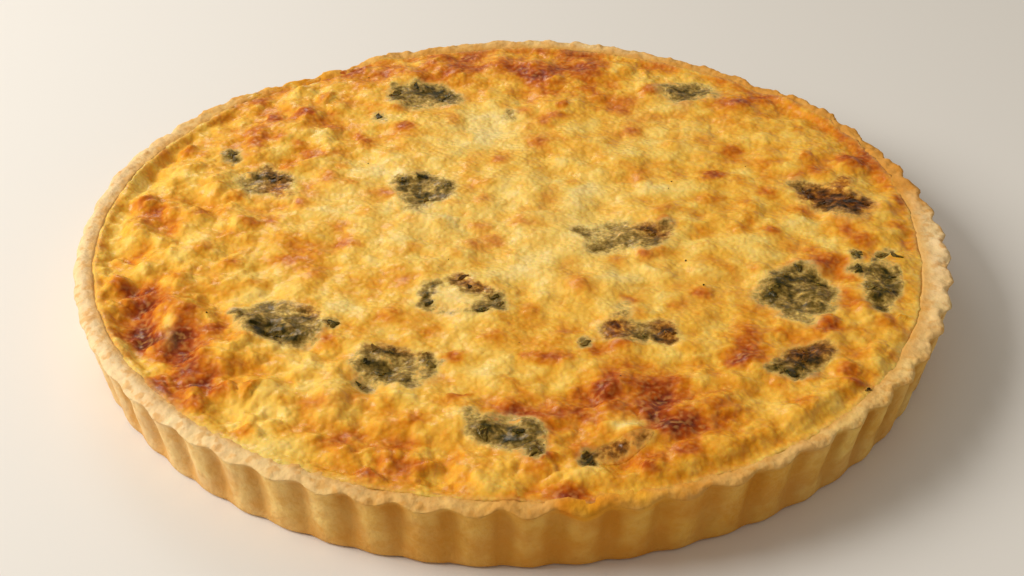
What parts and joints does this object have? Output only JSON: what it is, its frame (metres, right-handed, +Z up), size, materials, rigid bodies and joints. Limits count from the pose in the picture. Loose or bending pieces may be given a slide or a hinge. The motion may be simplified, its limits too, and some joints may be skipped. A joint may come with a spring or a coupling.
{
  "type": "spinach pie",
  "caption": "Round uncut spinach and cheese pie in a shallow fluted pastry case, its top browned in patches, with clumps of spinach showing in the filling.",
  "frame": {"origin": "centre of the flat underside, at the pie's base", "axes": "+Z up, out of the pie's top along its axis; -Y is the front of the picture, +X to its right"},
  "size_m": [0.26, 0.2598, 0.024],
  "materials": {
    "pastry": "matte",
    "filling": "satin",
    "spinach": "satin"
  },
  "bodies": {
    "root": {"crust": "pastry", "filling": "filling", "spinach_01": "spinach", "spinach_02": "spinach", "spinach_03": "spinach", "spinach_04": "spinach", "spinach_05": "spinach", "spinach_06": "spinach", "spinach_07": "spinach", "spinach_08": "spinach", "spinach_09": "spinach", "spinach_10": "spinach", "spinach_11": "spinach", "spinach_12": "spinach", "spinach_13": "spinach", "spinach_14": "spinach", "spinach_15": "spinach"}
  },
  "joints": []
}
